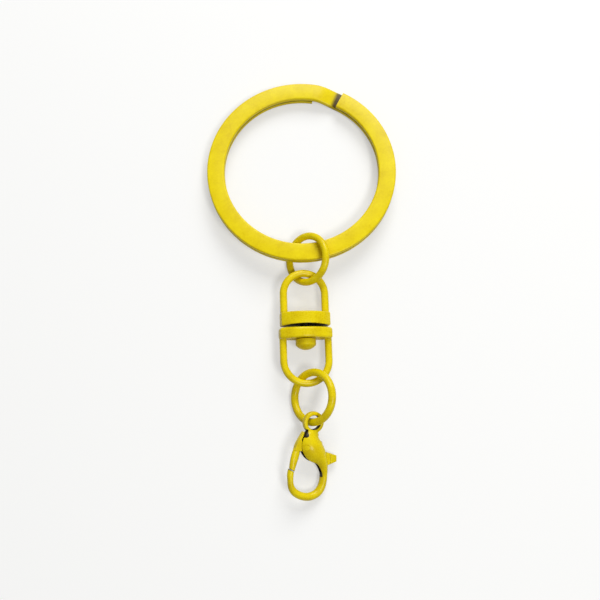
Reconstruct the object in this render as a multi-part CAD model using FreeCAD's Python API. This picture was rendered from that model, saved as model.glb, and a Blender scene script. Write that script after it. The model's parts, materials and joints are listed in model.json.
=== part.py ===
"""Key chain: flat split ring, two jump rings, a riveted swivel and a lobster clasp, laid out straight.

Every piece is built flat in its own frame (length along Y, face up +Z) and then placed where it lies
on the table: Z is up, Y runs from the clasp to the split ring, and the origin is at the bottom
centre of the whole chain. Millimetres and degrees.
"""
import FreeCAD, Part
import math
import os

Vec = FreeCAD.Vector
X_AXIS = Vec(1, 0, 0)
Y_AXIS = Vec(0, 1, 0)
Z_AXIS = Vec(0, 0, 1)

# Split ring: flat spring strip wound in two turns
ring_outer_d = 30.0
strip_width = 2.75
turn_thickness = 0.86
turn_seam = 0.04
strip_corner_r = 0.18
upper_end_deg = 63.0      # where the cut end of the upper turn lies
lower_end_deg = 82.0      # where the cut end of the lower turn lies
ramp_end_gap_deg = 1.0    # the ramp stays this far from either cut end

# Jump rings: round wire, closed on a fine cut
upper_jump_outer_d = 8.36
upper_jump_wire_d = 1.12
lower_jump_outer_d = 8.67
lower_jump_wire_d = 1.18
jump_cut_gap = 0.06
upper_cut_deg = 150.0     # the cut hides under the split ring
lower_cut_deg = 115.0     # the cut hides under the lower bow

# Swivel: two bails that turn on one headed rivet
upper_bail_width = 7.65
upper_bail_wire_d = 1.15
upper_bail_window = 5.60   # from the base to the inside of the bow
upper_base_thickness = 2.10
upper_base_hollow = 0.22   # the mating face is hollow by this much
lower_bail_width = 8.15
lower_bail_wire_d = 1.12
lower_bail_window = 6.17
lower_base_thickness = 1.80
lower_base_hollow = 0.15   # the window side of the base is arched by this much
base_depth = 4.80          # across the middle, seen along the rivet
base_end_depth = 1.80      # across the ends
upper_base_edge_r = 0.22
lower_base_edge_r = 0.45
swivel_gap = 0.25          # between the two bases
rivet_shank_d = 1.60
rivet_head_d = 3.15
rivet_head_height = 1.70
rivet_head_rim = 0.95      # straight part of the head under its dome
rivet_play = 0.05          # radial running clearance in the lower base
rivet_head_gap = 0.06      # between head and lower base

# Lobster clasp
eye_hole_d = 2.08
eye_rim = 0.60
eye_thickness = 0.95
eye_corner_r = 0.20
# Sections of the body from the neck round the hook to its nose: centre x, y, half width, half thickness
BODY_SECTIONS = [
    (0.05, -1.26, 0.86, 0.50),
    (-0.12, -1.65, 1.14, 0.68),
    (-0.34, -2.10, 1.42, 0.92),
    (-0.46, -2.75, 1.68, 1.22),
    (-0.38, -3.45, 1.82, 1.42),
    (-0.06, -4.15, 1.76, 1.46),
    (0.55, -4.90, 1.55, 1.38),
    (1.22, -5.75, 1.08, 1.16),
    (1.56, -6.75, 0.78, 0.95),
    (1.72, -7.90, 0.58, 0.74),
    (1.60, -9.10, 0.58, 0.68),
    (1.10, -10.25, 0.62, 0.66),
    (0.10, -10.95, 0.62, 0.64),
    (-1.10, -11.09, 0.60, 0.62),
    (-2.26, -10.74, 0.58, 0.60),
    (-3.18, -10.08, 0.55, 0.58),
    (-3.66, -9.20, 0.48, 0.55),
    (-3.77, -8.10, 0.46, 0.52),
    (-3.62, -6.60, 0.44, 0.48),
]
slot_thickness = 0.90
# Outline of the slot that the lever turns in: corners from beside the heel, round the outer side to the window
SLOT_OUTLINE = [
    (-3.40, -0.90), (-1.42, -0.90), (-1.62, -2.10), (3.40, -2.10), (3.40, -6.85),
    (1.95, -6.85), (1.24, -8.15), (0.30, -8.15), (-1.00, -6.30), (-3.40, -6.30),
]
clasp_through = 6.00          # cutters of the clasp are this long, which is more than its thickness
lever_side_clearance = 0.05   # on each face of the lever in its slot
lever_end_clearance = 0.07    # between gate tip and hook nose
pivot_x = -1.55
pivot_y = -3.55
pin_d = 0.80
pin_play = 0.03               # radial clearance of the lever on its pin
hub_r = 0.75
hook_centre = (-1.30, -8.55)  # middle of the window
# Sections of the gate from the slot to its tip: centre x, y, half width, half thickness
GATE_SECTIONS = [
    (-2.66, -3.75, 0.56, 0.39),
    (-2.86, -4.40, 0.62, 0.39),
    (-3.10, -5.20, 0.62, 0.44),
    (-3.36, -6.15, 0.52, 0.48),
    (-3.58, -7.40, 0.42, 0.48),
]
# Heel of the lever, which stands out of the slot beside the neck: corners from its tip, outer side first
HEEL_OUTLINE = [
    (-1.64, -1.22), (-1.84, -1.42), (-2.24, -2.02), (-2.68, -2.66), (-3.00, -3.30), (-3.18, -3.90),
    (-2.20, -4.10), (-1.60, -4.10), (-1.60, -3.00), (-2.00, -2.40), (-1.78, -1.92), (-1.60, -1.40),
]
gate_reach = 3.86             # the gate's tip is rounded off at this radius about the pivot
tab_inner_x = 2.20
tab_outer_x = 3.68
tab_root_half = 1.00
tab_end_half = 0.46
tab_middle_y = -5.66
tab_pad_inset = 0.45          # the thumb pad starts this far outside the body
tab_pad = 0.16                # the thumb pad stands proud of the lever's faces by this much
spring_x = 0.00
spring_outer_d = 0.78
spring_wire_d = 0.14
spring_turns = 4
spring_seat_gap = 0.03

# Lay-out on the table
ring_tilt = 4.05             # the chain end of the split ring rests on the upper jump ring
upper_jump_tilt = 39.5       # right side up
upper_jump_yaw = 3.0
upper_jump_side = 0.91       # jump ring's centre beside the chain's line through the split ring
upper_jump_reach = 0.91     # jump ring's centre beyond the middle of the strip
bow_gap = 0.28               # between upper jump ring and upper bow, seen from above
swivel_side = 0.57
swivel_yaw = 2.0
swivel_roll = 10.0           # right side down
swivel_lift = 0.08           # belly of the bases above the table
lower_jump_tilt = 42.0       # right side up
lower_jump_side = 1.16       # jump ring's centre beside the swivel's axis
lower_jump_slack = 0.50      # between lower bow and lower jump ring, seen from above
clasp_roll = 25.0            # left side up
clasp_pitch = 10.5           # eye end up
table_gap = 0.02             # pieces that rest on the table clear it by this much

strip_inner_r = ring_outer_d / 2 - strip_width
strip_middle_r = ring_outer_d / 2 - strip_width / 2
ring_thickness = 2 * turn_thickness + turn_seam
turn_level = (turn_thickness + turn_seam) / 2
upper_jump_r = (upper_jump_outer_d - upper_jump_wire_d) / 2
lower_jump_r = (lower_jump_outer_d - lower_jump_wire_d) / 2
upper_leg_x = (upper_bail_width - upper_bail_wire_d) / 2
lower_leg_x = (lower_bail_width - lower_bail_wire_d) / 2
upper_base_y = (swivel_gap / 2, swivel_gap / 2 + upper_base_thickness)
lower_base_y = (-swivel_gap / 2 - lower_base_thickness, -swivel_gap / 2)
upper_bow_y = upper_base_y[1] + upper_bail_window + upper_bail_wire_d / 2
lower_bow_y = lower_base_y[0] - lower_bail_window - lower_bail_wire_d / 2
lever_half = slot_thickness / 2 - lever_side_clearance
slot_top_y = SLOT_OUTLINE[3][1]
pivot = Vec(pivot_x, pivot_y, 0)


def rounded_section(half_w, half_t, corner, centre_r=0.0, level=0.0):
    """Rounded rectangle in the XZ plane: radial width along X, thickness along Z."""
    x0, x1 = centre_r - half_w, centre_r + half_w
    z0, z1 = level - half_t, level + half_t
    k = corner * (1 - math.sqrt(0.5))
    edges = [
        Part.LineSegment(Vec(x0 + corner, 0, z0), Vec(x1 - corner, 0, z0)).toShape(),
        Part.Arc(Vec(x1 - corner, 0, z0), Vec(x1 - k, 0, z0 + k), Vec(x1, 0, z0 + corner)).toShape(),
        Part.LineSegment(Vec(x1, 0, z0 + corner), Vec(x1, 0, z1 - corner)).toShape(),
        Part.Arc(Vec(x1, 0, z1 - corner), Vec(x1 - k, 0, z1 - k), Vec(x1 - corner, 0, z1)).toShape(),
        Part.LineSegment(Vec(x1 - corner, 0, z1), Vec(x0 + corner, 0, z1)).toShape(),
        Part.Arc(Vec(x0 + corner, 0, z1), Vec(x0 + k, 0, z1 - k), Vec(x0, 0, z1 - corner)).toShape(),
        Part.LineSegment(Vec(x0, 0, z1 - corner), Vec(x0, 0, z0 + corner)).toShape(),
        Part.Arc(Vec(x0, 0, z0 + corner), Vec(x0 + k, 0, z0 + k), Vec(x0 + corner, 0, z0)).toShape(),
    ]
    return Part.Wire(edges)


def fused(*shapes):
    """One solid of several that touch or overlap."""
    joined = shapes[0].multiFuse(list(shapes[1:])).removeSplitter()
    solids = joined.Solids
    return solids[0] if len(solids) == 1 else joined


def flat_plate(points, half_t):
    """Closed outline in the XY plane, made a plate that is centred on that plane."""
    corners = [Vec(x, y, -half_t) for x, y in points]
    outline = Part.makePolygon(corners + corners[:1])
    return Part.Face(outline).extrude(Vec(0, 0, 2 * half_t))


def make_split_ring():
    """Two flat turns of one strip, joined by a short ramp where the strip changes turns."""
    half_w = strip_width / 2
    half_t = turn_thickness / 2
    ramp_top_deg = lower_end_deg - ramp_end_gap_deg
    ramp_foot_deg = upper_end_deg + ramp_end_gap_deg

    def turn(start_deg, end_deg, level):
        section = rounded_section(half_w, half_t, strip_corner_r, strip_middle_r, level)
        face = Part.Face(section)
        face.rotate(Vec(0, 0, 0), Z_AXIS, start_deg)
        return face.revolve(Vec(0, 0, 0), Z_AXIS, end_deg - start_deg)

    upper = turn(ramp_top_deg, upper_end_deg + 360, turn_level)
    lower = turn(lower_end_deg - 360, ramp_foot_deg, -turn_level)
    stations = 9
    sections = []
    for i in range(stations):
        share = i / (stations - 1)
        ease = share * share * (3 - 2 * share)
        section = rounded_section(half_w, half_t, strip_corner_r, strip_middle_r, turn_level * (2 * ease - 1))
        section.rotate(Vec(0, 0, 0), Z_AXIS, ramp_foot_deg + share * (ramp_top_deg - ramp_foot_deg))
        sections.append(section)
    ramp = Part.makeLoft(sections, True, False)
    return fused(upper, ramp, lower)


def make_jump_ring(middle_r, wire_d, cut_deg):
    """Ring of round wire, closed on a fine cut at cut_deg."""
    cut_angle = math.degrees(jump_cut_gap / middle_r)
    circle = Part.makeCircle(wire_d / 2, Vec(middle_r, 0, 0), Y_AXIS)
    face = Part.Face(Part.Wire([circle]))
    face.rotate(Vec(0, 0, 0), Z_AXIS, cut_deg + cut_angle / 2)
    return face.revolve(Vec(0, 0, 0), Z_AXIS, 360 - cut_angle)


def make_bow(leg_x, wire_d, root_y, bow_y):
    """Round wire bent to a U, with its legs' feet at root_y and the top of the bend at bow_y."""
    side = 1 if bow_y > root_y else -1
    bend_y = bow_y - side * leg_x
    path = Part.Wire([
        Part.LineSegment(Vec(leg_x, root_y, 0), Vec(leg_x, bend_y, 0)).toShape(),
        Part.Arc(Vec(leg_x, bend_y, 0), Vec(0, bow_y, 0), Vec(-leg_x, bend_y, 0)).toShape(),
        Part.LineSegment(Vec(-leg_x, bend_y, 0), Vec(-leg_x, root_y, 0)).toShape(),
    ])
    profile = Part.Wire([Part.makeCircle(wire_d / 2, Vec(leg_x, root_y, 0), Y_AXIS)])
    return path.makePipeShell([profile], True, False)


def make_base(width, y_low, y_high, edge_r, hollow):
    """Oval bar that carries the rivet, with the face at y_low hollowed across its length."""
    half = width / 2
    outline = Part.Wire([
        Part.Arc(Vec(-half, y_low, base_end_depth / 2), Vec(0, y_low, base_depth / 2),
                 Vec(half, y_low, base_end_depth / 2)).toShape(),
        Part.LineSegment(Vec(half, y_low, base_end_depth / 2), Vec(half, y_low, -base_end_depth / 2)).toShape(),
        Part.Arc(Vec(half, y_low, -base_end_depth / 2), Vec(0, y_low, -base_depth / 2),
                 Vec(-half, y_low, -base_end_depth / 2)).toShape(),
        Part.LineSegment(Vec(-half, y_low, -base_end_depth / 2), Vec(-half, y_low, base_end_depth / 2)).toShape(),
    ])
    bar = Part.Face(outline).extrude(Vec(0, y_high - y_low, 0))
    bar = bar.makeFillet(edge_r, bar.Edges)
    hollow_r = (half * half + hollow * hollow) / (2 * hollow)
    tool = Part.makeCylinder(hollow_r, 2 * base_depth, Vec(0, y_low + hollow - hollow_r, -base_depth), Z_AXIS)
    return bar.cut(tool)


def make_upper_bail():
    """Upper half of the swivel. The rivet's shank is fixed in its base."""
    base = make_base(upper_bail_width, *upper_base_y, upper_base_edge_r, upper_base_hollow)
    bow = make_bow(upper_leg_x, upper_bail_wire_d, upper_base_y[1] - upper_base_edge_r * 2, upper_bow_y)
    bore = Part.makeCylinder(rivet_shank_d / 2, 2 * upper_base_thickness,
                             Vec(0, -upper_base_thickness / 2, 0), Y_AXIS)
    return fused(base, bow).cut(bore)


def make_lower_bail():
    """Lower half of the swivel. It turns freely on the rivet."""
    base = make_base(lower_bail_width, *lower_base_y, lower_base_edge_r, lower_base_hollow)
    bow = make_bow(lower_leg_x, lower_bail_wire_d, lower_base_y[0] + lower_base_edge_r * 2, lower_bow_y)
    bore = Part.makeCylinder(rivet_shank_d / 2 + rivet_play, 2 * lower_base_thickness,
                             Vec(0, lower_base_y[0] - lower_base_thickness / 2, 0), Y_AXIS)
    return fused(base, bow).cut(bore)


def make_rivet():
    """Domed head under the lower base, shank through both bases, flush in the upper window."""
    shank_r = rivet_shank_d / 2
    head_r = rivet_head_d / 2
    half = lower_bail_width / 2
    hollow_r = (half * half + lower_base_hollow * lower_base_hollow) / (2 * lower_base_hollow)
    arch_drop = hollow_r - math.sqrt(hollow_r * hollow_r - head_r * head_r)
    head_y = lower_base_y[0] + lower_base_hollow - arch_drop - rivet_head_gap
    rim_y = head_y - rivet_head_rim
    dome_y = head_y - rivet_head_height
    dome_h = rim_y - dome_y
    dome_r = (head_r * head_r + dome_h * dome_h) / (2 * dome_h)
    half_turn = math.asin(head_r / dome_r) / 2
    dome_x = dome_r * math.sin(half_turn)
    dome_mid_y = dome_y + dome_r * (1 - math.cos(half_turn))
    profile = Part.Wire([
        Part.LineSegment(Vec(0, upper_base_y[1], 0), Vec(shank_r, upper_base_y[1], 0)).toShape(),
        Part.LineSegment(Vec(shank_r, upper_base_y[1], 0), Vec(shank_r, head_y, 0)).toShape(),
        Part.LineSegment(Vec(shank_r, head_y, 0), Vec(head_r, head_y, 0)).toShape(),
        Part.LineSegment(Vec(head_r, head_y, 0), Vec(head_r, rim_y, 0)).toShape(),
        Part.Arc(Vec(head_r, rim_y, 0), Vec(dome_x, dome_mid_y, 0), Vec(0, dome_y, 0)).toShape(),
        Part.LineSegment(Vec(0, dome_y, 0), Vec(0, upper_base_y[1], 0)).toShape(),
    ])
    return Part.Face(profile).revolve(Vec(0, 0, 0), Y_AXIS, 360)


def oval_section(centre, along, half_w, half_t):
    """Oval across the direction along: half_w in the XY plane, half_t along Z."""
    across = along.cross(Z_AXIS).normalize()
    if half_w >= half_t:
        oval = Part.Ellipse(centre + across * half_w, centre + Z_AXIS * half_t, centre)
    else:
        oval = Part.Ellipse(centre + Z_AXIS * half_t, centre + across * half_w, centre)
    start = oval.parameter(centre + across * half_w)
    edge = oval.toShape(start, start + 2 * math.pi)
    return Part.Wire([edge])


def horn(stations):
    """Smooth solid through oval sections whose planes stand across the line through their centres."""
    centres = [Vec(x, y, 0) for x, y, half_w, half_t in stations]
    wires = []
    for i, (x, y, half_w, half_t) in enumerate(stations):
        before = centres[max(i - 1, 0)]
        after = centres[min(i + 1, len(centres) - 1)]
        wires.append(oval_section(centres[i], (after - before).normalize(), half_w, half_t))
    return Part.makeLoft(wires, True, False)


def through_cylinder(radius, centre):
    """Upright cylinder at centre that reaches through the whole clasp."""
    return Part.makeCylinder(radius, clasp_through, centre - Z_AXIS * (clasp_through / 2), Z_AXIS)


def slot_block(half_t):
    """Space of the slot that the lever turns in, open to both sides and to the window."""
    return flat_plate(SLOT_OUTLINE, half_t)


def make_clasp_body():
    """Cast body: eye, neck, bulge with its slot, and the hook round to its nose."""
    rim_r = eye_hole_d / 2 + eye_rim / 2
    eye_face = Part.Face(rounded_section(eye_rim / 2, eye_thickness / 2, eye_corner_r, rim_r))
    eye = eye_face.revolve(Vec(0, 0, 0), Z_AXIS, 360)
    body = fused(eye, horn(BODY_SECTIONS))
    hole = through_cylinder(pin_d / 2, pivot)
    eye_hole = through_cylinder(eye_hole_d / 2, Vec(0, 0, 0))
    swept = through_cylinder(gate_reach + lever_end_clearance, pivot)
    nose_side = Part.makeBox(gate_reach, 0.8 * gate_reach, clasp_through,
                             Vec(hook_centre[0] - 1.26 * gate_reach, hook_centre[1] - 0.13 * gate_reach,
                                 -clasp_through / 2))
    body = body.cut(swept.common(nose_side))
    return body.cut(slot_block(slot_thickness / 2)).cut(hole).cut(eye_hole)


def make_clasp_pin():
    """Rivet pin of the lever, fixed in both cheeks and dressed flush with their faces."""
    return through_cylinder(pin_d / 2, pivot).common(horn(BODY_SECTIONS)).Solids[0]


def make_clasp_lever():
    """Gate, hub and thumb tab in one piece: a flat plate in the slot, rounded outside it."""
    arm = flat_plate([
        (pivot_x, pivot_y + hub_r), (tab_inner_x, tab_middle_y + tab_root_half),
        (tab_outer_x, tab_middle_y + tab_end_half), (tab_outer_x, tab_middle_y - tab_end_half),
        (tab_inner_x, tab_middle_y - tab_root_half), (pivot_x, pivot_y - hub_r),
    ], lever_half)
    pad = flat_plate([
        (tab_inner_x + tab_pad_inset, tab_middle_y + tab_root_half * 0.78),
        (tab_outer_x, tab_middle_y + tab_end_half), (tab_outer_x, tab_middle_y - tab_end_half),
        (tab_inner_x + tab_pad_inset, tab_middle_y - tab_root_half * 0.78),
    ], lever_half + tab_pad)
    hub = Part.makeCylinder(hub_r, 2 * lever_half, pivot - Z_AXIS * lever_half, Z_AXIS)
    heel = flat_plate(HEEL_OUTLINE, lever_half)
    gate = horn(GATE_SECTIONS).common(through_cylinder(gate_reach, pivot))
    bore = through_cylinder(pin_d / 2 + pin_play, pivot)
    return fused(hub, arm, pad, heel, gate).cut(bore)


def make_clasp_spring():
    """Coil spring between the slot's end and the lever's arm. It keeps the gate shut."""
    share = (spring_x - pivot_x) / (tab_inner_x - pivot_x)
    arm_top_y = pivot_y + hub_r + share * (tab_middle_y + tab_root_half - pivot_y - hub_r)
    foot_slope = (pivot_y + hub_r - tab_middle_y - tab_root_half) / (tab_inner_x - pivot_x)
    low_y = arm_top_y + spring_outer_d / 2 * foot_slope + spring_seat_gap + spring_wire_d / 2
    high_y = slot_top_y - spring_seat_gap - spring_wire_d / 2
    coil_r = (spring_outer_d - spring_wire_d) / 2
    helix = Part.makeHelix((high_y - low_y) / spring_turns, high_y - low_y, coil_r)
    profile = Part.Wire([Part.makeCircle(spring_wire_d / 2, Vec(coil_r, 0, 0), Y_AXIS)])
    coil = Part.Wire(helix).makePipeShell([profile], True, True)
    coil.rotate(Vec(0, 0, 0), X_AXIS, -90)
    coil.translate(Vec(spring_x, low_y, 0))
    return coil


def placement(centre, *turns):
    """Placement at centre after turns (axis, degrees), the first of which is done first."""
    rotation = FreeCAD.Rotation()
    for axis, degrees in turns:
        rotation = FreeCAD.Rotation(axis, degrees).multiply(rotation)
    return FreeCAD.Placement(centre, rotation)


def lay_out():
    """Where each link lies, from the split ring down to the clasp, before the origin is set."""
    places = {}
    tilt = math.radians(ring_tilt)
    ring_z = ring_outer_d / 2 * math.sin(tilt) + ring_thickness / 2 * math.cos(tilt) + table_gap
    places["ring"] = placement(Vec(0, 0, ring_z), (X_AXIS, -ring_tilt))

    upper_z = upper_jump_wire_d / 2 + upper_jump_r * math.sin(math.radians(upper_jump_tilt)) + table_gap
    upper_y = -strip_middle_r - upper_jump_reach
    places["upper_jump"] = placement(Vec(upper_jump_side, upper_y, upper_z),
                                     (Y_AXIS, -upper_jump_tilt), (Z_AXIS, upper_jump_yaw))

    wires = (upper_jump_wire_d + upper_bail_wire_d) / 2
    bow_y = upper_y - upper_jump_r + wires + bow_gap
    swivel_z = base_depth / 2 + swivel_lift
    swivel = Vec(swivel_side, bow_y - upper_bow_y, swivel_z)
    places["swivel"] = placement(swivel, (Y_AXIS, swivel_roll), (Z_AXIS, swivel_yaw))

    wires = (lower_jump_wire_d + lower_bail_wire_d) / 2
    lower_z = lower_jump_wire_d / 2 + lower_jump_r * math.sin(math.radians(lower_jump_tilt)) + table_gap
    lower_y = swivel.y + lower_bow_y + wires + lower_jump_slack - lower_jump_r
    lower = Vec(swivel_side + lower_jump_side, lower_y, lower_z)
    places["lower_jump"] = placement(lower, (Y_AXIS, -lower_jump_tilt))

    eye = Vec(lower.x, lower.y - lower_jump_r, lower.z)
    places["clasp"] = placement(eye, (Y_AXIS, clasp_roll), (X_AXIS, clasp_pitch))
    return places


places = lay_out()
pieces = {
    "split_ring": (make_split_ring(), "ring"),
    "upper_jump_ring": (make_jump_ring(upper_jump_r, upper_jump_wire_d, upper_cut_deg), "upper_jump"),
    "swivel_upper_bail": (make_upper_bail(), "swivel"),
    "swivel_rivet": (make_rivet(), "swivel"),
    "swivel_lower_bail": (make_lower_bail(), "swivel"),
    "lower_jump_ring": (make_jump_ring(lower_jump_r, lower_jump_wire_d, lower_cut_deg), "lower_jump"),
    "clasp_body": (make_clasp_body(), "clasp"),
    "clasp_pin": (make_clasp_pin(), "clasp"),
    "clasp_lever": (make_clasp_lever(), "clasp"),
    "clasp_spring": (make_clasp_spring(), "clasp"),
}
placed = {}
for name, (shape, where) in pieces.items():
    copy = shape.copy()
    copy.Placement = places[where].multiply(shape.Placement)
    placed[name] = copy

box = Part.makeCompound(list(placed.values())).optimalBoundingBox()
origin = Vec((box.XMin + box.XMax) / 2, (box.YMin + box.YMax) / 2, box.ZMin)

os.makedirs("parts", exist_ok=True)
for name, shape in placed.items():
    shape.translate(-origin)
    shape.exportStep("parts/" + name + ".step")

joints = {
    "upper_jump_ring_slide": (places["ring"], Vec(0, 0, 0), Z_AXIS),
    "swivel_swing": (places["upper_jump"], Vec(0, -upper_jump_r, 0), X_AXIS),
    "swivel_turn": (places["swivel"], Vec(0, 0, 0), Y_AXIS),
    "lower_jump_ring_swing": (places["lower_jump"], Vec(0, lower_jump_r, 0), X_AXIS),
    "clasp_swing": (places["lower_jump"], Vec(0, -lower_jump_r, 0), X_AXIS),
    "clasp_lever_turn": (places["clasp"], pivot, Z_AXIS),
}
mounts = {
    "key_loop": (places["ring"], Vec(0, 0, 0), Z_AXIS),
    "clasp_hook": (places["clasp"], Vec(hook_centre[0], hook_centre[1], 0), Z_AXIS),
}
for kind, group in (("joint", joints), ("mount", mounts)):
    for name, (place, point, axis) in group.items():
        point = place.multVec(point) - origin
        axis = place.Rotation.multVec(axis)
        print(kind, name, [round(c, 4) for c in point], [round(c, 6) for c in axis])
print("size", round(box.XLength, 3), round(box.YLength, 3), round(box.ZLength, 3))
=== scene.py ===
"""Yellow painted key chain on a white table: split ring, jump ring, swivel, jump ring, lobster clasp."""
import bpy, bmesh
import json, math
from mathutils import Euler, Matrix, Vector


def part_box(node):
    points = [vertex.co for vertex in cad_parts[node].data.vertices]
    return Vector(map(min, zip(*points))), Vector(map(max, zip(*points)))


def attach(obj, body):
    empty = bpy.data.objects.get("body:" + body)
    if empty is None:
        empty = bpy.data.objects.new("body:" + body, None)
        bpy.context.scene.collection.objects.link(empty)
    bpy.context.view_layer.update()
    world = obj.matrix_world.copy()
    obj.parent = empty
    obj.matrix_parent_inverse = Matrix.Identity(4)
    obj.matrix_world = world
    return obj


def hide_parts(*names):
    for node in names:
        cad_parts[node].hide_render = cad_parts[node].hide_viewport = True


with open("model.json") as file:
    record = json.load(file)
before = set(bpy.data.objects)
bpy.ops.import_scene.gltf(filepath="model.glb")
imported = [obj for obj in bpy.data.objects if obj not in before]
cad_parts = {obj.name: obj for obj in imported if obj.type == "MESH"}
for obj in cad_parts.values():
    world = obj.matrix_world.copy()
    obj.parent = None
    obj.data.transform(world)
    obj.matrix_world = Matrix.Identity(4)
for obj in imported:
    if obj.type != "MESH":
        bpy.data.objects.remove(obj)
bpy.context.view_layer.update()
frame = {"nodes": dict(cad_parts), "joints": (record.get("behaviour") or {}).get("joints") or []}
nodes = frame["nodes"]
joints = {joint["name"]: joint for joint in frame["joints"]}


# ---- Split ring -------------------------------------------------------------------------------
# Flat spring strip wound in two turns that lie on each other, painted yellow and baked. A short ramp
# takes it from the lower turn to the upper one. Its edges are rolled round. Painted shade darkens the
# groove between the turns and the foot of the ramp, where the upper turn's end shades it.
strip_width = 0.00275
turn_thickness = 0.00086
turn_seam = 0.00004
strip_middle_r = 0.015 - strip_width / 2
strip_edge_r = 0.00026
lower_end_deg = 82.0
upper_end_deg = 63.0
ramp_end_gap_deg = 1.0
# Length of the painted shade on the ramp's foot, where the upper turn's end shades it.
ramp_shade_length = 0.11        # radians along the ramp, from its foot


def linear(*srgb):
    """Colour given in 0-255 screen values, as the shader wants it."""
    steps = [c / 255 for c in srgb]
    return [c / 12.92 if c <= 0.04045 else ((c + 0.055) / 1.055) ** 2.4 for c in steps] + [1.0]


def math_node(tree, operation, *values):
    """Number worked out from links or plain values."""
    node = tree.nodes.new("ShaderNodeMath")
    node.operation = operation
    for socket, value in zip(node.inputs, values):
        if isinstance(value, (int, float)):
            socket.default_value = value
        else:
            tree.links.new(value, socket)
    return node.outputs[0]


def baked_paint(name, light, body, deep, pebble, cloud, gloss=0.28):
    """Yellow enamel, faintly clouded and pebbled. Pebbles and clouds are given in millimetres."""
    paint = bpy.data.materials.new(name)
    paint.use_nodes = True
    tree = paint.node_tree
    shader = tree.nodes["Principled BSDF"]
    place = tree.nodes.new("ShaderNodeTexCoord")

    def noise(size_mm, detail):
        node = tree.nodes.new("ShaderNodeTexNoise")
        node.inputs["Scale"].default_value = 1000 / size_mm
        node.inputs["Detail"].default_value = detail
        node.inputs["Roughness"].default_value = 0.55
        tree.links.new(place.outputs["Object"], node.inputs["Vector"])
        return node.outputs["Fac"]

    clouds = noise(cloud, 2.0)
    pebbles = noise(pebble, 2.0)
    ramp = tree.nodes.new("ShaderNodeValToRGB")
    ramp.color_ramp.elements[0].position = 0.28
    ramp.color_ramp.elements[0].color = deep
    ramp.color_ramp.elements[1].position = 0.72
    ramp.color_ramp.elements[1].color = light
    middle = ramp.color_ramp.elements.new(0.5)
    middle.color = body
    cloud_share = 0.70
    clouded = math_node(tree, "MULTIPLY", clouds, cloud_share)
    shade = math_node(tree, "MULTIPLY_ADD", pebbles, 1 - cloud_share, clouded)
    tree.links.new(shade, ramp.inputs["Fac"])
    tree.links.new(ramp.outputs["Color"], shader.inputs["Base Color"])
    rough = tree.nodes.new("ShaderNodeMapRange")
    rough.inputs["To Min"].default_value = gloss - 0.06
    rough.inputs["To Max"].default_value = gloss + 0.06
    tree.links.new(pebbles, rough.inputs["Value"])
    tree.links.new(rough.outputs["Result"], shader.inputs["Roughness"])
    bump = tree.nodes.new("ShaderNodeBump")
    bump.inputs["Strength"].default_value = 0.30
    bump.inputs["Distance"].default_value = 0.00003     # metres from hollow to crest
    tree.links.new(pebbles, bump.inputs["Height"])
    tree.links.new(bump.outputs["Normal"], shader.inputs["Normal"])
    shader.inputs["Specular IOR Level"].default_value = 0.24
    return paint


def settle(name, source):
    """Plain mesh object of what source and its modifiers make."""
    view = bpy.context.evaluated_depsgraph_get()
    mesh = bpy.data.meshes.new_from_object(source.evaluated_get(view), depsgraph=view)
    mesh.name = name
    old = source.data
    bpy.data.objects.remove(source)
    bpy.data.meshes.remove(old)
    piece = bpy.data.objects.new(name, mesh)
    bpy.context.scene.collection.objects.link(piece)
    return piece


def grow(name, tree, values):
    """Piece made by a geometry tree from the named values."""
    seed = bpy.data.objects.new(name + "_seed", bpy.data.meshes.new(name + "_seed"))
    bpy.context.scene.collection.objects.link(seed)
    grown = seed.modifiers.new("grow", "NODES")
    grown.node_group = tree
    for item in tree.interface.items_tree:
        if item.item_type == "SOCKET" and item.in_out == "INPUT" and item.name in values:
            grown[item.identifier] = values[item.name]
    return settle(name, seed)


def new_tree(name, sizes):
    """Geometry tree with named inputs, its input node and its output node."""
    tree = bpy.data.node_groups.new(name, "GeometryNodeTree")
    for label, kind in sizes:
        tree.interface.new_socket(label, in_out="INPUT", socket_type=kind)
    tree.interface.new_socket("Geometry", in_out="OUTPUT", socket_type="NodeSocketGeometry")
    return tree, tree.nodes.new("NodeGroupInput"), tree.nodes.new("NodeGroupOutput")


def finish_tree(tree, given, out, shape):
    """Places the shape, gives it its paint and sends it out."""
    place = tree.nodes.new("GeometryNodeTransform")
    smooth = tree.nodes.new("GeometryNodeSetShadeSmooth")
    real = tree.nodes.new("GeometryNodeRealizeInstances")
    paint = tree.nodes.new("GeometryNodeSetMaterial")
    tree.links.new(shape, place.inputs["Geometry"])
    tree.links.new(given.outputs["Turn"], place.inputs["Rotation"])
    tree.links.new(given.outputs["Centre"], place.inputs["Translation"])
    tree.links.new(place.outputs[0], smooth.inputs["Geometry"])
    tree.links.new(smooth.outputs[0], real.inputs["Geometry"])
    tree.links.new(real.outputs[0], paint.inputs["Geometry"])
    tree.links.new(given.outputs["Paint"], paint.inputs["Material"])
    tree.links.new(paint.outputs[0], out.inputs["Geometry"])


tree, given, out = new_tree("wound_strip", [
    ("Middle radius", "NodeSocketFloat"), ("Width", "NodeSocketFloat"), ("Thickness", "NodeSocketFloat"),
    ("Edge radius", "NodeSocketFloat"), ("Level", "NodeSocketFloat"), ("Start", "NodeSocketFloat"),
    ("Sweep", "NodeSocketFloat"), ("Ramp foot", "NodeSocketFloat"), ("Ramp top", "NodeSocketFloat"),
    ("Turn", "NodeSocketVector"), ("Centre", "NodeSocketVector"), ("Paint", "NodeSocketMaterial")])
stations = 720
line = tree.nodes.new("GeometryNodeMeshLine")
line.inputs["Count"].default_value = stations
path = tree.nodes.new("GeometryNodeMeshToCurve")
tree.links.new(line.outputs[0], path.inputs[0])
index = tree.nodes.new("GeometryNodeInputIndex")
share = math_node(tree, "DIVIDE", index.outputs[0], stations - 1.0)
angle = math_node(tree, "MULTIPLY_ADD", share, given.outputs["Sweep"], given.outputs["Start"])
rise = tree.nodes.new("ShaderNodeMapRange")
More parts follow.
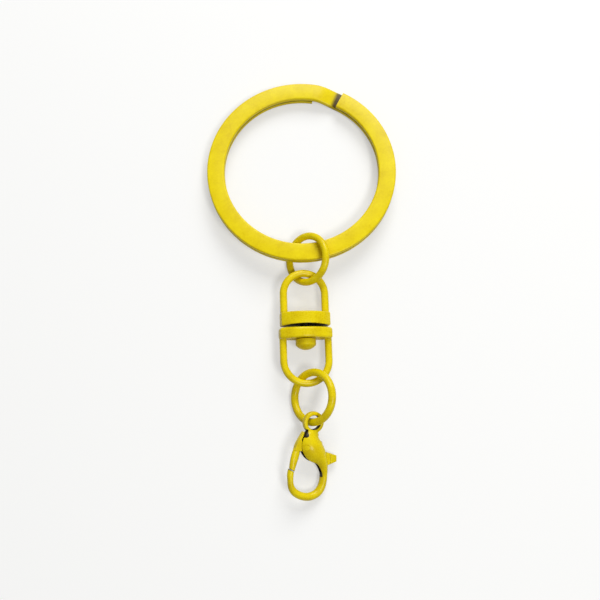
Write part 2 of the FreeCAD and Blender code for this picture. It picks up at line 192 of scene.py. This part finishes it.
rise.interpolation_type = "SMOOTHSTEP"
tree.links.new(angle, rise.inputs["Value"])
tree.links.new(given.outputs["Ramp foot"], rise.inputs["From Min"])
tree.links.new(given.outputs["Ramp top"], rise.inputs["From Max"])
tree.links.new(math_node(tree, "MULTIPLY", given.outputs["Level"], -1.0), rise.inputs["To Min"])
tree.links.new(given.outputs["Level"], rise.inputs["To Max"])
point = tree.nodes.new("ShaderNodeCombineXYZ")
for operation, axis in (("COSINE", "X"), ("SINE", "Y")):
    turned = math_node(tree, operation, angle)
    tree.links.new(math_node(tree, "MULTIPLY", turned, given.outputs["Middle radius"]), point.inputs[axis])
tree.links.new(rise.outputs["Result"], point.inputs["Z"])
wind = tree.nodes.new("GeometryNodeSetPosition")
tree.links.new(path.outputs[0], wind.inputs["Geometry"])
tree.links.new(point.outputs[0], wind.inputs["Position"])
level = tree.nodes.new("GeometryNodeSetCurveNormal")
level.mode = "Z_UP"
turn_side = math_node(tree, "DIVIDE", rise.outputs["Result"], given.outputs["Level"])
# Share of painted shade on the ramp's foot, fading away from it.
from_foot = math_node(tree, "ABSOLUTE", math_node(tree, "SUBTRACT", angle, given.outputs["Ramp foot"]))
ramp_shade = math_node(tree, "SUBTRACT", 1.0, math_node(tree, "DIVIDE", from_foot, ramp_shade_length))
ramp_shade = math_node(tree, "MAXIMUM", ramp_shade, 0.0)
laid = wind.outputs[0]
for label, value in (("turn_side", turn_side), ("ramp_shade", ramp_shade)):
    keep = tree.nodes.new("GeometryNodeStoreNamedAttribute")
    keep.inputs["Name"].default_value = label
    tree.links.new(laid, keep.inputs["Geometry"])
    tree.links.new(value, keep.inputs["Value"])
    laid = keep.outputs[0]
tree.links.new(laid, level.inputs["Curve"])
flat = tree.nodes.new("GeometryNodeCurvePrimitiveQuadrilateral")
tree.links.new(given.outputs["Width"], flat.inputs["Width"])
tree.links.new(given.outputs["Thickness"], flat.inputs["Height"])
rolled = tree.nodes.new("GeometryNodeFilletCurve")
rolled.mode = "POLY"
rolled.inputs["Count"].default_value = 6
tree.links.new(flat.outputs[0], rolled.inputs["Curve"])
tree.links.new(given.outputs["Edge radius"], rolled.inputs["Radius"])
place = tree.nodes.new("GeometryNodeInputPosition")
across = tree.nodes.new("ShaderNodeSeparateXYZ")
tree.links.new(place.outputs[0], across.inputs[0])
keep = tree.nodes.new("GeometryNodeStoreNamedAttribute")
keep.inputs["Name"].default_value = "face_side"
tree.links.new(rolled.outputs[0], keep.inputs["Geometry"])
half_thickness = math_node(tree, "MULTIPLY", given.outputs["Thickness"], 0.5)
tree.links.new(math_node(tree, "DIVIDE", across.outputs["Y"], half_thickness), keep.inputs["Value"])
strip = tree.nodes.new("GeometryNodeCurveToMesh")
strip.inputs["Fill Caps"].default_value = True
tree.links.new(level.outputs[0], strip.inputs["Curve"])
tree.links.new(keep.outputs[0], strip.inputs["Profile Curve"])
finish_tree(tree, given, out, strip.outputs[0])

ring_paint = baked_paint("split_ring_paint", linear(244, 223, 12), linear(235, 211, 4), linear(222, 194, 2),
                         pebble=0.34, cloud=2.6, gloss=0.30)

# turn_side is -1 on the lower turn and 1 on the upper one, and face_side is 1 on the strip's lower
# face and -1 on its upper one, so their product is 1 where the turns lie on each other.
coat = ring_paint.node_tree
shader = coat.nodes["Principled BSDF"]
marks = {}
for label in ("turn_side", "ramp_shade", "face_side"):
    mark = coat.nodes.new("ShaderNodeAttribute")
    mark.attribute_name = label
    marks[label] = mark.outputs["Fac"]
# Painted shade: the groove between the turns and the ramp's foot under the upper turn's end are mixed toward
# a dark colour.
groove_shade = coat.nodes.new("ShaderNodeMapRange")
groove_shade.inputs["From Min"].default_value = 0.62
groove_shade.inputs["From Max"].default_value = 0.92
coat.links.new(math_node(coat, "MULTIPLY", marks["turn_side"], marks["face_side"]), groove_shade.inputs["Value"])
painted_shade_mix = coat.nodes.new("ShaderNodeMix")
painted_shade_mix.data_type = "RGBA"
ramp_shade_share = math_node(coat, "MULTIPLY", marks["ramp_shade"], 0.55)
coat.links.new(math_node(coat, "MAXIMUM", groove_shade.outputs["Result"], ramp_shade_share), painted_shade_mix.inputs[0])
coat.links.new(shader.inputs["Base Color"].links[0].from_socket, painted_shade_mix.inputs[6])
painted_shade_mix.inputs[7].default_value = linear(84, 66, 4)
coat.links.new(painted_shade_mix.outputs[2], shader.inputs["Base Color"])

ring_hinge = joints["upper_jump_ring_slide"]
ring_axis = Vector(ring_hinge["axis"])
ring_turn = Euler((-math.atan2(ring_axis.y, ring_axis.z), 0, 0))
split_ring = grow("split_ring_strip", tree, {
    "Middle radius": strip_middle_r, "Width": strip_width, "Thickness": turn_thickness,
    "Edge radius": strip_edge_r, "Level": (turn_thickness + turn_seam) / 2,
    "Start": math.radians(lower_end_deg - 360), "Sweep": math.radians(upper_end_deg - lower_end_deg + 720),
    "Ramp foot": math.radians(upper_end_deg + ramp_end_gap_deg),
    "Ramp top": math.radians(lower_end_deg - ramp_end_gap_deg),
    "Turn": tuple(ring_turn), "Centre": ring_hinge["pos_m"], "Paint": ring_paint})
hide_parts("split_ring")
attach(split_ring, "split_ring")


# ---- Jump rings -------------------------------------------------------------------------------
# Round wire bent to a ring and closed on a fine cut. The upper one joins the split ring to the
# swivel. The lower one is a little larger and thicker and joins the swivel to the clasp.
upper_jump_r, upper_jump_wire_r, upper_cut_deg = 0.00362, 0.00056, 150.0
lower_jump_r, lower_jump_wire_r, lower_cut_deg = 0.003745, 0.00059, 115.0
cut_gap = 0.00006

tree, given, out = new_tree("jump_ring", [
    ("Middle radius", "NodeSocketFloat"), ("Wire radius", "NodeSocketFloat"), ("Start", "NodeSocketFloat"),
    ("Sweep", "NodeSocketFloat"), ("Turn", "NodeSocketVector"), ("Centre", "NodeSocketVector"),
    ("Paint", "NodeSocketMaterial")])
arc = tree.nodes.new("GeometryNodeCurveArc")
arc.inputs["Resolution"].default_value = 160
tree.links.new(given.outputs["Middle radius"], arc.inputs["Radius"])
tree.links.new(given.outputs["Start"], arc.inputs["Start Angle"])
tree.links.new(given.outputs["Sweep"], arc.inputs["Sweep Angle"])
wire = tree.nodes.new("GeometryNodeCurvePrimitiveCircle")
wire.inputs["Resolution"].default_value = 40
tree.links.new(given.outputs["Wire radius"], wire.inputs["Radius"])
bent = tree.nodes.new("GeometryNodeCurveToMesh")
bent.inputs["Fill Caps"].default_value = True
tree.links.new(arc.outputs[0], bent.inputs["Curve"])
tree.links.new(wire.outputs[0], bent.inputs["Profile Curve"])
finish_tree(tree, given, out, bent.outputs[0])


def ring_lie(x_axis, toward, side):
    """Turn of a ring from its own X axis and the place of its wire at Y = side times its radius."""
    x_axis = Vector(x_axis).normalized()
    y_axis = (Vector(toward) * side).normalized()
    z_axis = x_axis.cross(y_axis).normalized()
    return Matrix((x_axis, z_axis.cross(x_axis), z_axis)).transposed().to_euler()


def jump_ring(name, node, hinge, side, middle_r, wire_r, cut_deg, paint):
    """Ring that lies where the CAD has it, its plane taken from the hinge of the next link."""
    low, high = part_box(node)
    centre = (low + high) / 2
    turn = ring_lie(hinge["axis"], Vector(hinge["pos_m"]) - centre, side)
    gap = cut_gap / middle_r
    ring = grow(name, tree, {
        "Middle radius": middle_r, "Wire radius": wire_r, "Start": math.radians(cut_deg) + gap / 2,
        "Sweep": 2 * math.pi - gap, "Turn": tuple(turn), "Centre": tuple(centre), "Paint": paint})
    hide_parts(node)
    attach(ring, node)


wire_colours = linear(240, 218, 8), linear(230, 206, 2), linear(212, 184, 0)
upper_wire_paint = baked_paint("upper_jump_ring_paint", *wire_colours, pebble=0.24, cloud=1.6)
lower_wire_paint = baked_paint("lower_jump_ring_paint", *wire_colours, pebble=0.24, cloud=1.8)
jump_ring("upper_jump_ring_wire", "upper_jump_ring", joints["swivel_swing"], -1,
          upper_jump_r, upper_jump_wire_r, upper_cut_deg, upper_wire_paint)
jump_ring("lower_jump_ring_wire", "lower_jump_ring", joints["lower_jump_ring_swing"], 1,
          lower_jump_r, lower_jump_wire_r, lower_cut_deg, lower_wire_paint)


# ---- Swivel bails -----------------------------------------------------------------------------
# Two zinc castings, each a bowed wire on an oval bar. Trimming and a thick coat of paint have
# softened every edge and filled the corners where the wire runs into the bar.
casting_grain = 0.055
bail_colours = linear(242, 220, 10), linear(232, 208, 2), linear(214, 186, 0)
upper_bail_paint = baked_paint("upper_bail_paint", *bail_colours, pebble=0.26, cloud=2.0)
lower_bail_paint = baked_paint("lower_bail_paint", *bail_colours, pebble=0.26, cloud=2.2)


def painted_shade_room(paint, centre, turn, half_mm, oval=False):
    """Painted shade: dark colour in a box, or in an oval about the box's Y axis, where gaps and recesses lie
    in shade.
    """
    tree = paint.node_tree
    shader = tree.nodes["Principled BSDF"]
    place = tree.nodes.new("ShaderNodeTexCoord")
    own = tree.nodes.new("ShaderNodeMapping")
    own.vector_type = "TEXTURE"
    own.inputs["Location"].default_value = centre
    own.inputs["Rotation"].default_value = turn.to_euler()
    own.inputs["Scale"].default_value = [half / 1000 for half in half_mm]
    tree.links.new(place.outputs["Object"], own.inputs["Vector"])
    parts = tree.nodes.new("ShaderNodeSeparateXYZ")
    tree.links.new(own.outputs[0], parts.inputs[0])
    x, y, z = [math_node(tree, "ABSOLUTE", part) for part in parts.outputs]
    if oval:
        reach = math_node(tree, "ADD", math_node(tree, "MULTIPLY", x, x), math_node(tree, "MULTIPLY", z, z))
    else:
        reach = math_node(tree, "MAXIMUM", x, z)
    inside = math_node(tree, "LESS_THAN", math_node(tree, "MAXIMUM", reach, y), 1.0)
    blend = tree.nodes.new("ShaderNodeMix")
    blend.data_type = "RGBA"
    tree.links.new(inside, blend.inputs[0])
    tree.links.new(shader.inputs["Base Color"].links[0].from_socket, blend.inputs[6])
    # Dark colour of the painted shade.
    blend.inputs[7].default_value = linear(40, 30, 3)
    tree.links.new(blend.outputs[2], shader.inputs["Base Color"])


swivel_roll = math.radians(10)     # how far the swivel leans to its right
swivel_axis = Vector(joints["swivel_turn"]["axis"])
swivel_centre = Vector(joints["swivel_turn"]["pos_m"])
swivel_lie = (Matrix.Rotation(math.atan2(-swivel_axis.x, swivel_axis.y), 3, "Z")
              @ Matrix.Rotation(swivel_roll, 3, "Y"))


def soft_casting(name, node, body, paint, grain, passes):
    """Closed skin over a CAD solid, its edges softened as casting and paint leave them.

    Grain is the finest form kept, in millimetres, and passes is how often the skin is smoothed.
    """
    mesh = nodes[node].data.copy()
    edit = bmesh.new()
    edit.from_mesh(mesh)
    bmesh.ops.remove_doubles(edit, verts=edit.verts, dist=1e-7)
    edit.to_mesh(mesh)
    edit.free()
    mesh.transform(Matrix.Scale(1000, 4))
    cast = bpy.data.objects.new(name + "_cast", mesh)
    bpy.context.scene.collection.objects.link(cast)
    skin = cast.modifiers.new("skin", "REMESH")
    skin.mode = "VOXEL"
    skin.voxel_size = grain
    skin.use_smooth_shade = True
    soft = cast.modifiers.new("soft", "SMOOTH")
    soft.factor = 0.5
    soft.iterations = passes
    piece = settle(name, cast)
    piece.data.transform(Matrix.Scale(0.001, 4))
    piece.data.materials.clear()
    piece.data.materials.append(paint)
    piece.data.shade_smooth()
    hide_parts(node)
    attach(piece, body)


# Painted shade: the bars' facing sides between them are darkened where shade falls.
between_bars = swivel_centre + swivel_lie @ Vector((0, 0.0001, 0))
for paint in (upper_bail_paint, lower_bail_paint):
    painted_shade_room(paint, between_bars, swivel_lie, (3.55, 0.30, 2.22), oval=True)
soft_casting("upper_bail_casting", "swivel_upper_bail", "swivel_upper", upper_bail_paint, casting_grain, 10)
soft_casting("lower_bail_casting", "swivel_lower_bail", "swivel_lower", lower_bail_paint, casting_grain, 10)


# ---- Swivel rivet -----------------------------------------------------------------------------
# Headed pin, turned from rod. Its shank is fixed in the upper bar and the lower bar turns on it.
# Paint softens the rim of the head.
rivet_paint = baked_paint("rivet_paint", linear(240, 218, 8), linear(230, 206, 2), linear(210, 182, 0),
                          pebble=0.22, cloud=1.4)
# Painted shade on the rivet's shank between the bars.
painted_shade_room(rivet_paint, swivel_centre, swivel_lie, (1.2, 0.6, 1.2))     # its shank between the bars
soft_casting("swivel_rivet_pin", "swivel_rivet", "swivel_upper", rivet_paint, 0.04, 24)


# ---- Clasp body -------------------------------------------------------------------------------
# Zinc casting in one piece: eye, neck, a swollen shell with a slot for the lever, and the hook.
# The paint lies thick on it and has softened the slot's edges.
clasp_paint = baked_paint("clasp_body_paint", linear(240, 220, 10), linear(230, 206, 2), linear(212, 184, 0),
                          pebble=0.26, cloud=2.4)
clasp_eye = Vector(joints["clasp_swing"]["pos_m"])
clasp_pivot = -1.55, -3.55       # millimetres from the eye, across and along the clasp
clasp_up = Vector(joints["clasp_lever_turn"]["axis"])
to_pivot = (Vector(joints["clasp_lever_turn"]["pos_m"]) - clasp_eye).normalized()
pivot_angle = math.atan2(clasp_pivot[1], clasp_pivot[0])
clasp_across = Matrix.Rotation(-pivot_angle, 3, clasp_up) @ to_pivot
clasp_along = clasp_up.cross(clasp_across)


def on_clasp(x, y):
    """Place in the frame of a point given in millimetres across and along the clasp."""
    return clasp_eye + (clasp_across * x + clasp_along * y) * 0.001


gate_swing = math.radians(-30.5)       # way from the pivot to the gate's tip, from straight down the clasp
gate_end = -3.525, -6.907              # millimetres from the eye
clasp_turn = Matrix((clasp_across, clasp_along, clasp_up)).transposed()
end_turn = clasp_turn @ Matrix.Rotation(gate_swing, 3, "Z")
eye_turn = clasp_turn @ Matrix.Rotation(math.radians(90), 3, "X")
# Painted shade: dark patches at the gap at the gate's end, in the slot, beside the neck and round the eye's
# hole, where shade falls.
at_gate_end = on_clasp(*gate_end), end_turn, (0.8, 0.11, 0.7)
painted_shade_room(clasp_paint, *at_gate_end)
painted_shade_room(clasp_paint, on_clasp(-0.5, -5.17), clasp_turn, (2.1, 3.12, 0.50))                # slot
painted_shade_room(clasp_paint, on_clasp(-1.48, -1.50), clasp_turn, (0.46, 0.60, 0.80))              # beside the neck
painted_shade_room(clasp_paint, on_clasp(0, 0), eye_turn, (1.13, 0.42, 1.13), oval=True)             # eye
soft_casting("clasp_body_casting", "clasp_body", "clasp", clasp_paint, 0.05, 10)


# ---- Clasp pin --------------------------------------------------------------------------------
# Small rivet pin through both cheeks of the shell, dressed flush and painted over.
pin_paint = baked_paint("clasp_pin_paint", linear(238, 218, 8), linear(228, 204, 2), linear(208, 180, 0),
                        pebble=0.20, cloud=1.0)
nodes["clasp_pin"].data.materials.clear()
nodes["clasp_pin"].data.materials.append(pin_paint)


# ---- Clasp lever ------------------------------------------------------------------------------
# Stamped and trimmed lever: a flat plate in the shell's slot, a rounded gate that meets the hook's
# nose, and a thumb tab on the other side.
lever_paint = baked_paint("clasp_lever_paint", linear(240, 220, 10), linear(230, 206, 2), linear(212, 184, 0),
                          pebble=0.24, cloud=2.0)
# Painted shade on the lever inside the slot and at the gap at the gate's end.
painted_shade_room(lever_paint, on_clasp(0.0, -4.6), clasp_turn, (2.02, 2.4, 0.50))                  # in the slot
painted_shade_room(lever_paint, *at_gate_end)
soft_casting("clasp_lever_casting", "clasp_lever", "clasp_lever", lever_paint, 0.04, 5)


# ---- Clasp spring -----------------------------------------------------------------------------
# Coil of bright steel wire between the end of the slot and the lever. It is not painted.
spring_steel = bpy.data.materials.new("spring_steel")
spring_steel.use_nodes = True
tree = spring_steel.node_tree
shader = tree.nodes["Principled BSDF"]
shader.inputs["Metallic"].default_value = 1.0
drawn = tree.nodes.new("ShaderNodeTexNoise")
drawn.inputs["Scale"].default_value = 9000
place = tree.nodes.new("ShaderNodeTexCoord")
tree.links.new(place.outputs["Object"], drawn.inputs["Vector"])
steel = tree.nodes.new("ShaderNodeValToRGB")
steel.color_ramp.elements[0].color = linear(150, 150, 148)
steel.color_ramp.elements[1].color = linear(205, 205, 202)
tree.links.new(drawn.outputs["Fac"], steel.inputs["Fac"])
tree.links.new(steel.outputs["Color"], shader.inputs["Base Color"])
rough = tree.nodes.new("ShaderNodeMapRange")
rough.inputs["To Min"].default_value = 0.22
rough.inputs["To Max"].default_value = 0.42
tree.links.new(drawn.outputs["Fac"], rough.inputs["Value"])
tree.links.new(rough.outputs["Result"], shader.inputs["Roughness"])
nodes["clasp_spring"].data.materials.clear()
nodes["clasp_spring"].data.materials.append(spring_steel)


# ---- Table, light and camera ------------------------------------------------------------------
# A white table top under soft light from beyond the split ring, and a smaller lamp on the right that
# lifts the sides toward the clasp. The camera looks almost straight down, leaning a little that way.
table_seen = 0.92, 0.92, 0.90, 1.0      # by the camera and in reflections
table_thrown = 0.46, 0.44, 0.36, 1.0    # what it throws back on the chain
table_own_white = 0.40                  # share of its look that doesn't depend on the lamps
table = bpy.data.materials.new("white_table")
table.use_nodes = True
tree = table.node_tree
shader = tree.nodes["Principled BSDF"]
shader.inputs["Roughness"].default_value = 0.8
shader.inputs["Specular IOR Level"].default_value = 0.1
white = tree.nodes.new("ShaderNodeEmission")
white.inputs["Strength"].default_value = 1.08
rays = tree.nodes.new("ShaderNodeLightPath")
seen = math_node(tree, "MAXIMUM", rays.outputs["Is Camera Ray"], rays.outputs["Is Glossy Ray"])
top = tree.nodes.new("ShaderNodeMix")
top.data_type = "RGBA"
top.inputs[6].default_value = table_thrown
top.inputs[7].default_value = table_seen
tree.links.new(seen, top.inputs[0])
tree.links.new(top.outputs[2], shader.inputs["Base Color"])
mix = tree.nodes.new("ShaderNodeMixShader")
own_white = math_node(tree, "MULTIPLY", rays.outputs["Is Camera Ray"], table_own_white)
tree.links.new(own_white, mix.inputs["Fac"])
tree.links.new(shader.outputs[0], mix.inputs[1])
tree.links.new(white.outputs[0], mix.inputs[2])
tree.links.new(mix.outputs[0], tree.nodes["Material Output"].inputs["Surface"])
mesh = bpy.data.meshes.new("table_top")
half_side = 1.5
corners = [(x * half_side, y * half_side, 0) for x, y in ((-1, -1), (1, -1), (1, 1), (-1, 1))]
mesh.from_pydata(corners, [], [(0, 1, 2, 3)])
floor = bpy.data.objects.new("table_top", mesh)
floor.location.z = -0.00002
bpy.context.scene.collection.objects.link(floor)
mesh.materials.append(table)

world = bpy.data.worlds.new("room")
bpy.context.scene.world = world
world.use_nodes = True
tree = world.node_tree
room = tree.nodes["Background"]
rays = tree.nodes.new("ShaderNodeLightPath")
level = tree.nodes.new("ShaderNodeMapRange")
level.inputs["To Min"].default_value = 0.26
level.inputs["To Max"].default_value = 1.0
tree.links.new(rays.outputs["Is Camera Ray"], level.inputs["Value"])
tree.links.new(level.outputs["Result"], room.inputs["Strength"])
room.inputs["Color"].default_value = (1, 1, 1, 1)


def lamp(name, place, size, power):
    """Square area lamp at place, turned to the middle of the chain."""
    light = bpy.data.lights.new(name, "AREA")
    light.shape = "SQUARE"
    light.size = size
    light.energy = power
    stand = bpy.data.objects.new(name, light)
    stand.location = place
    stand.rotation_euler = (-stand.location).to_track_quat("-Z", "Y").to_euler()
    bpy.context.scene.collection.objects.link(stand)


lamp("window", (0.07, 0.33, 0.28), 0.26, 1.38)
lamp("overhead", (0.14, -0.12, 0.36), 0.10, 0.55)

camera_lean = math.radians(9.7)
camera_reach = 0.127
aim = Vector((ring_hinge["pos_m"][0] - 0.00024, ring_hinge["pos_m"][1] - 0.0205, 0.0))
lens = bpy.data.cameras.new("camera")
lens.sensor_width = 36.0
lens.lens = 48.3
lens.clip_start = 0.005
camera = bpy.data.objects.new("camera", lens)
camera.location = aim + camera_reach * Vector((0, -math.sin(camera_lean), math.cos(camera_lean)))
camera.rotation_euler = (camera_lean, 0, 0)
bpy.context.scene.collection.objects.link(camera)
bpy.context.scene.camera = camera
bpy.context.scene.view_settings.view_transform = "Standard"
